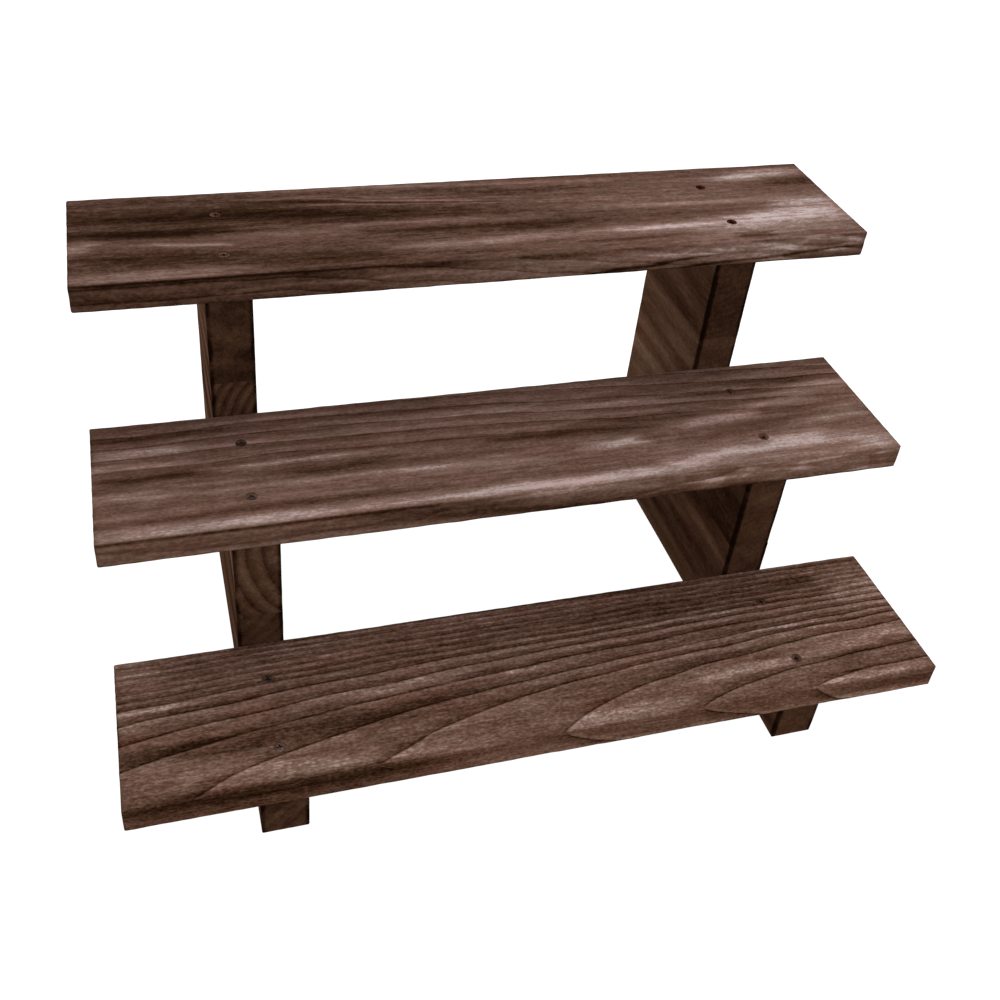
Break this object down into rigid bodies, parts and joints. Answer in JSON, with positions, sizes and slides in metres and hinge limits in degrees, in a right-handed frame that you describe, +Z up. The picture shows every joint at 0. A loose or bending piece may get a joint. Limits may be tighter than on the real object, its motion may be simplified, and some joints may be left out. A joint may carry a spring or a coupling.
{
  "type": "tiered plant stand",
  "caption": "Stepped wooden plant stand with long open shelf boards screwed onto stair-shaped side panels.",
  "frame": {"origin": "on the floor under the middle of the stand's bounding box", "axes": "+X along the shelves, +Y from the low front to the high rear, +Z up"},
  "size_m": [0.6, 0.359, 0.309],
  "materials": {
    "shelf_wood": "torched and brushed softwood, dark red-brown, satin",
    "panel_wood": "torched softwood, dark brown, satin, darker at the arrises",
    "screw_metal": "bronzed steel, dull"
  },
  "bodies": {
    "root": {"bottom_shelf": "shelf_wood", "middle_shelf": "shelf_wood", "top_shelf": "shelf_wood", "left_panel_bottom_board": "panel_wood", "left_panel_middle_board": "panel_wood", "left_panel_top_board": "panel_wood", "right_panel_bottom_board": "panel_wood", "right_panel_middle_board": "panel_wood", "right_panel_top_board": "panel_wood", "bottom_shelf_screws": "screw_metal", "middle_shelf_screws": "screw_metal", "top_shelf_screws": "screw_metal"}
  },
  "joints": []
}
